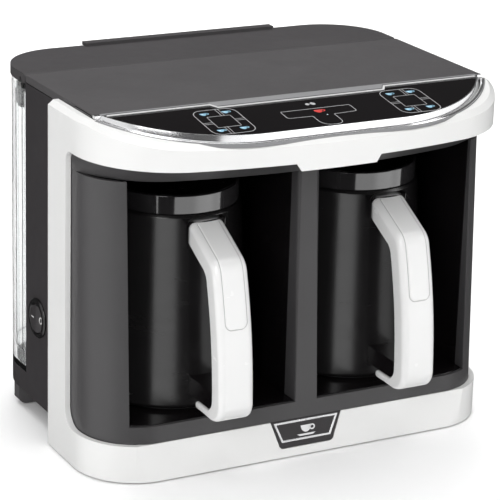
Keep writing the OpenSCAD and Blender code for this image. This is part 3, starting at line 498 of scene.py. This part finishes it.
def handle_paths():
    """Matched outer and inner points of the handle's side outline, (y, z) from the pot's axis, from the hook to the arm."""
    outer, inner = [], []
    zb, t, ro, ri, hook_y = 38.4, 4.6, 12.0, 7.5, -55.6
    for d, k in ((0.0, 0.30), (0.35, 0.62), (1.1, 0.87), (2.3, 1.0), (6.0, 1.0), (11.0, 1.0)):
        outer.append(Vector((hook_y - d, zb + t / 2 * (1 - k))))
        inner.append(Vector((hook_y - d, zb + t / 2 * (1 + k))))
    oz, iz = zb + ro, zb + t + ri
    ox = FC.x - math.sqrt((FACE_R - ro) ** 2 - (oz - FC.y) ** 2)
    ix = FC.x - math.sqrt((FACE_R - T - ri) ** 2 - (iz - FC.y) ** 2)
    oa = 180 - math.degrees(math.asin((oz - FC.y) / (FACE_R - ro)))
    ia = 180 - math.degrees(math.asin((iz - FC.y) / (FACE_R - T - ri)))
    n = 14
    outer += arc2(ox, oz, ro, 270, oa, n)
    inner += arc2(ix, iz, ri, 270, ia, n)
    rf = 8.0
    q = BEND + rf * Vector((math.sin(ARM), -math.cos(ARM))) - FC
    u = Vector((math.cos(ARM), math.sin(ARM)))
    qb = q.dot(u)
    c = FC + q + u * (-qb - math.sqrt(qb * qb - q.dot(q) + (FACE_R - T - rf) ** 2))
    back = math.asin((c.y - FC.y) / (FACE_R - T - rf))
    for z in (54, 60, 67, 74, 81, 88, 95, 102, 109, 116, 121):
        o, i = face_point(z)
        a = min(math.asin((z - FC.y) / FACE_R), back)
        outer.append(o)
        inner.append(FC + (FACE_R - T) * Vector((-math.cos(a), math.sin(a))))
    n = 16
    outer += arc2(BEND.x, BEND.y, T, 180 - math.degrees(LEAN), 117, n)
    inner += arc2(c.x, c.y, rf, 180 - math.degrees(back), 117, n)
    for y in (-58.0, -52.0, -46.0, -41.4):
        outer.append(Vector((y, arm_z(y, T))))
        inner.append(Vector((y, arm_z(y))))
    return outer, inner


def section(o, i, half, r_out, r_in, k=6):
    """Rounded rectangle across the handle: points (x, y, z) from an inner point i and an outer point o."""
    d = (o - i)
    t = d.length
    d = d / t
    r_out, r_in = min(r_out, 0.46 * t), min(r_in, 0.3 * t)
    pts = []

    def corner(cx, cu, r, a0):
        for j in range(k + 1):
            a = math.radians(a0 + 90 * j / k)
            pts.append((cx + r * math.cos(a), cu + r * math.sin(a)))

    corner(half - r_out, t - r_out, r_out, 0)
    corner(-half + r_out, t - r_out, r_out, 90)
    corner(-half + r_in, r_in, r_in, 180)
    corner(half - r_in, r_in, r_in, 270)
    return [Vector((x, i.x + d.x * u, i.y + d.y * u)) for x, u in pts]


def build_handle(side, s):
    body = "pot_" + side
    cx = s * 60.0
    outer, inner = handle_paths()
    bm = bmesh.new()
    rings = []
    n = len(outer)
    for q, (o, i) in enumerate(zip(outer, inner)):
        half, ro, ri = HALF_W, 4.2, 1.6
        if q < 3:
            half = HALF_W - (1.6, 0.75, 0.2)[q]
        if q < 22:
            ro = 2.2 + 2.0 * max(0, q - 6) / 16
        rings.append([bm.verts.new(((p.x + cx) * MM, (p.y + POT_Y) * MM, p.z * MM)) for p in section(o, i, half, ro, ri)])
    k = len(rings[0])
    for a, b in zip(rings, rings[1:]):
        for j in range(k):
            bm.faces.new((a[j], a[(j + 1) % k], b[(j + 1) % k], b[j]))
    bm.faces.new(rings[0])
    bm.faces.new(rings[-1])
    bmesh.ops.recalc_face_normals(bm, faces=bm.faces)
    o = add_mesh(body + "_handle_skin", bm, body, "handle_white")
    soften(o, 0)
    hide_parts(body + "_handle")

    # raised panel down the outer face, with a rounded lower end
    path = [face_point(94.5 + z)[0] for z in (0, 0.15, 0.4, 0.7, 1.2, 2, 2.8, 4, 6, 9, 12, 16, 20, 25, 30)]
    path += arc2(BEND.x, BEND.y, T, 180 - math.degrees(LEAN), 117, 16)
    for y in (-64, -60, -54, -50, -46.2):
        path.append(Vector((y, arm_z(y, T))))
    dist = [0.0]
    for a, b in zip(path, path[1:]):
        dist.append(dist[-1] + (b - a).length)
    w0, rc, lift = 6.8, 4.0, 0.7
    ramp = [(0.0, -0.04), (0.12, 0.22), (0.30, 0.48), (0.55, 0.64), (0.85, 0.70)]

    def height(d):
        for (d0, h0), (d1, h1) in zip(ramp, ramp[1:]):
            if d <= d1:
                return h0 + (h1 - h0) * (d - d0) / (d1 - d0)
        return lift

    bm = bmesh.new()
    rows = []
    for q, p in enumerate(path):
        a = path[max(0, q - 1)]
        b = path[min(len(path) - 1, q + 1)]
        tdir = (b - a).normalized()
        nrm = Vector((-tdir.y, tdir.x))
        if nrm.dot(Vector((-1, 0.6))) < 0:
            nrm = -nrm
        sdist = dist[q]
        w = w0 if sdist >= rc else w0 - rc + math.sqrt(max(0.0, rc * rc - (rc - sdist) ** 2))
        cols = [-w + d for d, _ in ramp] + [-w * 0.5, 0, w * 0.5] + [w - d for d, _ in reversed(ramp)]
        row = []
        for x in cols:
            h = min(height(w - abs(x)), height(sdist))
            pp = p + nrm * h
            row.append(bm.verts.new(((x + cx) * MM, (pp.x + POT_Y) * MM, pp.y * MM)))
        rows.append(row)
    for a, b in zip(rows, rows[1:]):
        for j in range(len(a) - 1):
            bm.faces.new((a[j], a[j + 1], b[j + 1], b[j]))
    bmesh.ops.recalc_face_normals(bm, faces=bm.faces)
    pan = add_mesh(body + "_panel_skin", bm, body, "handle_white")
    me = pan.data
    if sum(p.normal.y for p in me.polygons) > 0:
        me.flip_normals()
    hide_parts(body + "_handle_panel")

    # painted shadow: a grey line round the panel stands in for the shade in the fine gap round it
    def on_face(x, along):
        q = max(0, min(len(path) - 2, next((i for i, d in enumerate(dist) if d > along), len(path)) - 1))
        tdir = (path[q + 1] - path[q]).normalized()
        nrm = Vector((-tdir.y, tdir.x))
        if nrm.dot(Vector((-1, 0.6))) < 0:
            nrm = -nrm
        pp = path[q] + tdir * (along - dist[q]) + nrm * 0.09
        return ((x + cx) * MM, (pp.x + POT_Y) * MM, pp.y * MM)

    edge = [(w0 + 0.12, d) for d in dist[:0:-1] if d > rc + 0.3]
    for i in range(13):
        a = math.radians(90 * i / 12)
        edge.append((w0 - rc + (rc + 0.12) * math.cos(a), rc - (rc + 0.12) * math.sin(a)))
    edge += [(-x, d) for x, d in reversed(edge)]
    bm = bmesh.new()
    for quad in flat_stroke(edge, 0.36, False):
        bm.faces.new([bm.verts.new(on_face(v.x, v.y)) for v in quad])
    bmesh.ops.remove_doubles(bm, verts=bm.verts, dist=1e-6)
    geo = bmesh.ops.extrude_face_region(bm, geom=list(bm.faces))
    bmesh.ops.translate(bm, verts=[g for g in geo["geom"] if isinstance(g, bmesh.types.BMVert)], vec=(0, 0.12 * MM, -0.12 * MM))
    bmesh.ops.recalc_face_normals(bm, faces=bm.faces)
    add_mesh(body + "_panel_gap_painted_shade", bm, body, "gap_shade_grey", smooth=False)


def build_pot(side, s):
    body = "pot_" + side
    c = (s * 60.0, POT_Y)
    prof = fillet([(0, 35.4, 0), (40, 35.4, 0), (40, 34, 0), (45.4, 34, 0), (47, 36, 0), (40.3, 147.6, 0), (39.2, 149.2, 0),
                   (36.9, 149.35, 0), (36.9, 159, 0), (35.7, 159, 0), (35.7, 148.4, 0), (38.7, 146.6, 0), (45.75, 38.8, 0),
                   (44.0, 37.4, 0), (0, 37.4, 0)],
                  [0, 0.3, 0.4, 1.2, 1.8, 1.2, 0.6, 0.3, 0.2, 0.2, 0.8, 1.0, 2.0, 2.0, 0], 5)
    o = lathe(body + "_body_skin", [(p.x, p.y) for p in prof], c, body, "pot_coat", 160, closed=False)
    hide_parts(body + "_body")
    prof = fillet([(36.95, 149.5, 0), (38.6, 149.3, 0), (38.6, 160.4, 0), (35.6, 160.4, 0), (35.6, 159.1, 0), (36.95, 159.1, 0)],
                  [0.1, 0.35, 0.8, 0.8, 0.1, 0.1], 5)
    o = lathe(body + "_collar_skin", [(p.x, p.y) for p in prof], c, body, "gloss_black", 160)
    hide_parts(body + "_collar")
    refine(body + "_base_disc", "dark_steel", 0.2, 2)
    refine(body + "_handle_liner", "gloss_black", 0.4, 3)
    arms = refine(body + "_brackets", "niche_gloss", 1.0, 4)
    for v in arms.data.vertices:      # the upper bracket's head sits low under the collar's edge
        if v.co.z > 147.5 * MM:
            v.co.z -= 4.5 * MM
    build_handle(side, s)


build_pot("left", -1)
build_pot("right", 1)

# ---------------------------------------------------------------- printed marks on the glass
INK_Z = -0.27


def icon_cup(cx, cy, size, tilt=0.0):
    """A small generic cup: a bowl and a ring for its handle, as 2-D faces."""
    faces = []
    bowl = [Vector((-0.5, 0.30)), Vector((0.34, 0.30))]
    for i in range(1, 10):
        a = math.pi * i / 10
        bowl.append(Vector((-0.08 + 0.42 * math.cos(a), 0.30 - 0.62 * math.sin(a))))
    faces.append(bowl)
    ring = [Vector((0.40 + 0.20 * math.cos(2 * math.pi * i / 12), 0.10 + 0.17 * math.sin(2 * math.pi * i / 12))) for i in range(12)]
    faces += flat_stroke(ring, 0.10)
    return [[Vector((cx + p.x * size, cy + p.y * size)) for p in f] for f in faces]


grey, blue, pale = [], [], []
for sx in (-1, 1):
    cx, cy = sx * 60.0 + 1.3, -23.6
    grey += flat_stroke(rounded_rect(cx, cy, 13.3, 16.3, 6.0), 0.42)
    grey += flat_stroke(rounded_rect(cx, cy, 7.2, 7.3, 0.6, 2), 0.36)
    for dx, y0, y1 in ((3.0, 7.3, 16.3), (-2.6, -16.3, -7.3)):
        for e in (-0.9, 0.9):
            grey += flat_stroke([(cx + dx + e, cy + y0), (cx + dx + e, cy + y1)], 0.34, False)
    for dy, x0, x1 in ((0.6, 7.2, 13.3), (-1.0, -13.3, -7.2)):
        for e in (-0.9, 0.9):
            grey += flat_stroke([(cx + x0, cy + dy + e), (cx + x1, cy + dy + e)], 0.34, False)
    for ix, iy in ((-6.9, 11.2), (6.9, 11.4), (-7.2, -11.4), (7.0, -11.0)):
        blue += icon_cup(cx + ix, cy + iy, 4.9)
        pale.append([Vector((cx + ix - 1.7 + a, cy + iy + 0.6 + b)) for a, b in ((0, 0), (1.3, 0.1), (1.1, -0.9), (0.4, -0.8))])
t_line = fillet([(-21.8, -20.2, 0), (-21.8, -29.4, 0), (-6.1, -29.8, 0), (-6.1, -42.6, 0), (7.6, -42.8, 0), (7.6, -29.9, 0),
                 (22.9, -29.0, 0), (22.9, -20.0, 0)], [1.2, 1.6, 0.8, 6.0, 4.5, 0.8, 1.6, 1.2], 6)
grey += flat_stroke([p.to_2d() for p in t_line], 0.42)
# small grey sign above the middle: two leaning drops
grey.append([Vector(p) for p in ((-2.4, -13.6), (-1.2, -12.3), (0.2, -12.6), (0.5, -14.0), (-0.6, -15.2), (-1.9, -14.9))])
grey.append([Vector(p) for p in ((1.0, -12.4), (2.6, -11.8), (4.2, -13.2), (3.9, -15.0), (2.2, -15.5), (1.2, -14.4))])
plate("panel_lines", grey, PANEL, INK_Z, "machine", "ink_grey")
plate("panel_cups", blue, PANEL, INK_Z, "machine", "ink_blue")
plate("panel_cup_shine", pale, PANEL, INK_Z + 0.03, "machine", "ink_pale")
plate("panel_start_cup", icon_cup(1.2, -24.2, 6.2), PANEL, INK_Z, "machine", "ink_red")
dot = [Vector((3.3 + 0.45 * math.cos(2 * math.pi * i / 16), -29.8 + 0.45 * math.sin(2 * math.pi * i / 16))) for i in range(16)]
plate("panel_dot", [dot], PANEL, INK_Z + 0.03, "machine", "ink_pale")

# ---------------------------------------------------------------- bright strip with a painted shade line and a painted edge highlight, and lower edge of the trim with a painted shadow line
def strip_path(up):
    """The strip's front outline, moved up the panel."""
    return [(-119.5, -2 + up), (-56.5 - up * 0.35, -2 + up), (-53.5 - up * 0.35, -6.6 + up),
            (53.5 + up * 0.35, -6.6 + up), (56.5 + up * 0.35, -2 + up), (119.5, -2 + up)]


# painted highlight: a pale line along the strip's lower edge stands in for the light its front edge catches
plate("strip_painted_edge_highlight", flat_stroke(strip_path(0.65), 1.3, False), PANEL, 0.0, "machine", "edge_highlight_pale", 0.28)
# painted shade: a dark line across the strip stands in for the shade of the step between its level and sloping faces
plate("strip_painted_step_shade", flat_stroke(strip_path(2.1), 1.5, False), PANEL, 0.0, "machine", "step_shade_dark", 0.06)
LEVEL = Matrix.Translation(Vector((0, -0.052, 0.2124)))
plate("strip_face_level", [[Vector(p) for p in q] for q in (
    ((-122, 0.85), (-56.7, 0.85), (-56.7, 3.2), (-122, 3.2)), ((-56.7, 0), (56.7, 0), (56.7, 3.2), (-56.7, 3.2)),
    ((56.7, 0.85), (122, 0.85), (122, 3.2), (56.7, 3.2)))], LEVEL, 0.0, "machine", "strip_face", 0.12)
plate("strip_face_slope", [[Vector(p) for p in ((-54.4, -3.75), (54.4, -3.75), (56.7, 0), (-56.7, 0))]], PANEL, 0.0,
      "machine", "strip_face", 0.05)


def trim_line(name, r0, r1, lift, mat):
    """A band on the white rim that follows the trim's outline between two radii."""
    rows = []
    for i in range(-100, 101):
        row = []
        for r in (r0, r1):
            if abs(i) <= 40:
                x, y = 42.5 * i / 40, 48.3 - r
            else:
                a0 = 90 - math.degrees(math.asin((48.3 + 1.5) / r))
                a = math.radians(a0 * (abs(i) - 40) / 60)
                x, y = math.copysign(42.5 + r * math.sin(a), i), 48.3 - r * math.cos(a)
            q = PANEL @ Vector((x * MM, y * MM, 0))
            row.append(Vector((q.x, q.y, 0.2104 + min(0.0, q.y + 0.052) * math.tan(math.radians(10.5)) + lift * MM)))
        rows.append(row)
    bm = bmesh.new()
    vs = []
    for a, b in rows:
        low = Vector((0, 0, -(lift + 1.7) * MM))
        vs.append([bm.verts.new(p) for p in (a + low, a, b, b + low)])
    for a, b in zip(vs, vs[1:]):
        for j in range(3):
            bm.faces.new((a[j], a[j + 1], b[j + 1], b[j]))
        bm.faces.new((a[3], a[0], b[0], b[3]))
    bm.faces.new(vs[0])
    bm.faces.new(vs[-1])
    bmesh.ops.recalc_face_normals(bm, faces=bm.faces)
    o = add_mesh(name, bm, "machine", mat)
    soften(o, 0)
    return o


trim_line("trim_flange", 95.75, 97.2, 0.50, "trim_bright")
# painted shadow: a grey band on the white rim, just outside the flange, stands in for the shade along the trim's lower
# edge
trim_line("trim_painted_shadow_line", 97.15, 97.9, 0.32, "strip_face")

# ---------------------------------------------------------------- rocker marks
ROCK = Matrix.Translation(Vector((-0.1215, 0.0283, 0.068))) @ Matrix.Rotation(math.radians(8), 4, "Z")


def rocker_face(y0, x0, y1, x1, t):
    """Placing matrix on one outer face of the rocker: local x along the face, y up, z out."""
    a, b = Vector((x0 * MM, y0 * MM, 0)), Vector((x1 * MM, y1 * MM, 0))
    d = (b - a).normalized()
    z = Vector((0, 0, 1))
    out = d.cross(z)
    if out.x > 0:
        d = -d
        out = d.cross(z)
    m = Matrix((d, z, out)).transposed().to_4x4()
    m.translation = a + (b - a) * t
    return ROCK @ m


rear = rocker_face(0, -6.6, 9, -5.2, 0.52)
front = rocker_face(0, -6.6, -9, -5.2, 0.52)
plate("rocker_mark_on", [[Vector((-1.9, -0.32)), Vector((1.9, -0.32)), Vector((1.9, 0.32)), Vector((-1.9, 0.32))]],
      rear, 0.01, "rocker", "mark_white")
plate("rocker_mark_off", flat_stroke([Vector((1.15 * math.cos(2 * math.pi * i / 24), 1.9 * math.sin(2 * math.pi * i / 24)))
                                      for i in range(24)], 0.55), front, 0.01, "rocker", "mark_white")

# ---------------------------------------------------------------- badge sign: a plain cup over a saucer
BADGE = Matrix.Translation(Vector((0, -0.079, 0.0008))) @ Matrix.Rotation(math.radians(90 - 7.2), 4, "X")
cup = [Vector((-3.6, 17.6)), Vector((3.4, 17.6))]
for i in range(1, 12):
    a = math.pi * i / 12
    cup.append(Vector((-0.1 + 3.5 * math.cos(a), 17.6 - 4.3 * math.sin(a))))
ring = [Vector((4.0 + 1.5 * math.cos(2 * math.pi * i / 20), 15.9 + 1.35 * math.sin(2 * math.pi * i / 20))) for i in range(20)]
saucer = [Vector((-6.2, 12.4)), Vector((6.2, 12.4)), Vector((4.4, 11.3)), Vector((-4.4, 11.3))]
plate("badge_sign", [cup, saucer] + flat_stroke(ring, 0.8), BADGE, -0.30, "machine", "badge_silver", 0.25)

# ---------------------------------------------------------------- floor, light, sky
bm = bmesh.new()
bmesh.ops.create_grid(bm, x_segments=24, y_segments=24, size=9.0)
floor_me = bpy.data.meshes.new("floor")
bm.to_mesh(floor_me)
bm.free()
floor_me.materials.append(M["floor"])
floor = bpy.data.objects.new("floor", floor_me)
floor.location = (0, 0, -0.0002)
SCENE.collection.objects.link(floor)

floor.visible_glossy = False          # a dark studio table, as far as polished faces can tell

world = bpy.data.worlds.new("studio")
SCENE.world = world
world.use_nodes = True


def studio_world(base, panels):
    """A dim even room with soft bright panels: (azimuth from, to, elevation from, to, edge, strength), degrees."""
    nt = world.node_tree
    bg = nt.nodes["Background"]
    bg.inputs["Color"].default_value = (1.0, 1.0, 1.0, 1)

    def op(kind, a, b=None, c=None):
        n = nt.nodes.new("ShaderNodeMath")
        n.operation = kind
        for i, v in enumerate((a, b, c)):
            if v is None:
                continue
            if isinstance(v, (int, float)):
                n.inputs[i].default_value = v
            else:
                nt.links.new(v, n.inputs[i])
        return n.outputs[0]

    def window(v, lo, hi, edge):
        out = None
        for a0, a1, t0, t1 in ((lo - edge, lo + edge, 0, 1), (hi - edge, hi + edge, 1, 0)):
            m = nt.nodes.new("ShaderNodeMapRange")
            m.interpolation_type = "SMOOTHSTEP"
            nt.links.new(v, m.inputs["Value"])
            for k, x in zip(("From Min", "From Max", "To Min", "To Max"), (a0, a1, t0, t1)):
                m.inputs[k].default_value = x
            out = m.outputs["Result"] if out is None else op("MULTIPLY", out, m.outputs["Result"])
        return out

    tc = nt.nodes.new("ShaderNodeTexCoord")
    xyz = nt.nodes.new("ShaderNodeSeparateXYZ")
    nt.links.new(tc.outputs["Generated"], xyz.inputs[0])
    x, y, z = xyz.outputs
    az = op("DEGREES", op("ARCTAN2", x, op("MULTIPLY", y, -1.0)))
    el = op("DEGREES", op("ARCSINE", z))
    total = None
    for a0, a1, e0, e1, edge, power in panels:
        w = op("MULTIPLY", op("MULTIPLY", window(az, a0, a1, edge), window(el, e0, e1, edge)), power)
        total = w if total is None else op("ADD", total, w)
    nt.links.new(op("ADD", total, base), bg.inputs["Strength"])


def softbox(name, place, target, size, power, size_y=None, glossy=True):
    d = bpy.data.lights.new(name, "AREA")
    d.shape = "RECTANGLE"
    d.size = size
    d.size_y = size_y or size
    d.energy = power
    o = bpy.data.objects.new(name, d)
    SCENE.collection.objects.link(o)
    o.location = place
    o.rotation_euler = (Vector(target) - Vector(place)).to_track_quat("-Z", "Y").to_euler()
    o.visible_glossy = glossy
    return o


def strip(name, aim, az, el, width, height, radiance, lit, blockers, dist=1.0):
    """A strip light for one polished piece, seen from it at azimuth az and elevation el."""
    a, e = math.radians(az), math.radians(el)
    d = Vector((math.sin(a) * math.cos(e), -math.cos(a) * math.cos(e), math.sin(e)))
    o = softbox(name, Vector(aim) + d * dist, aim, width, radiance * math.pi * width * height, height)
    for kind, names in (("receiver_collection", lit), ("blocker_collection", blockers)):
        c = bpy.data.collections.new(name + "_" + kind)
        for n in names:
            c.objects.link(bpy.data.objects[n])
        setattr(o.light_linking, kind, c)
    return o


studio_world(0.035, [(-125, -62, -50, 35, 9, 0.85), (16, 48, -45, 20, 8, 1.0)])
for side, s in (("left", -1), ("right", 1)):
    pot = "pot_" + side
    skins = [pot + "_body_skin", pot + "_collar_skin"]
    strip(pot + "_sheen", (s * 0.06, POT_Y * MM, 0.095), -45, -11.6, 1.02, 0.62, 2.15, skins[:1], skins[:1])
    strip(pot + "_rim_a", (s * 0.06, POT_Y * MM, 0.155), -60, -18.6, 0.35, 0.5, 2.8, skins[1:], skins[1:])
    strip(pot + "_rim_b", (s * 0.06, POT_Y * MM, 0.155), 26, -18.6, 2.04, 0.5, 2.9, skins[1:], skins[1:])
softbox("key_left", (-1.9, -1.7, 1.5), (0, 0, 0.1), 1.2, 40, 1.6)
softbox("top", (0.1, -0.2, 2.2), (0, 0, 0.0), 2.0, 28, 2.0)
softbox("fill_right", (2.0, -1.4, 1.2), (0, 0, 0.1), 1.0, 19, 1.6)
front = softbox("front_fill", (-0.5, -2.7, 0.5), (0, 0, 0.1), 1.8, 8, 1.0, glossy=False)
lit = bpy.data.collections.new("front_fill_receivers")
lit.objects.link(bpy.data.objects["front_frame_skin"])
front.light_linking.receiver_collection = lit
strip("trim_front", (0.0, -0.095, 0.204), 52, -3, 3.4, 0.7, 1.15, ["chrome_trim_skin", "trim_flange"], ["chrome_trim_skin"])
softbox("floor_wash", (0.2, 2.2, 1.9), (0.2, 1.6, 0.0), 3.2, 80, 2.2, glossy=False)
table = softbox("table_wash", (0.9, -0.2, 2.4), (0.7, 0.1, 0.0), 3.0, 15, 2.4, glossy=False)
lit = bpy.data.collections.new("table_wash_receivers")
lit.objects.link(floor)
table.light_linking.receiver_collection = lit
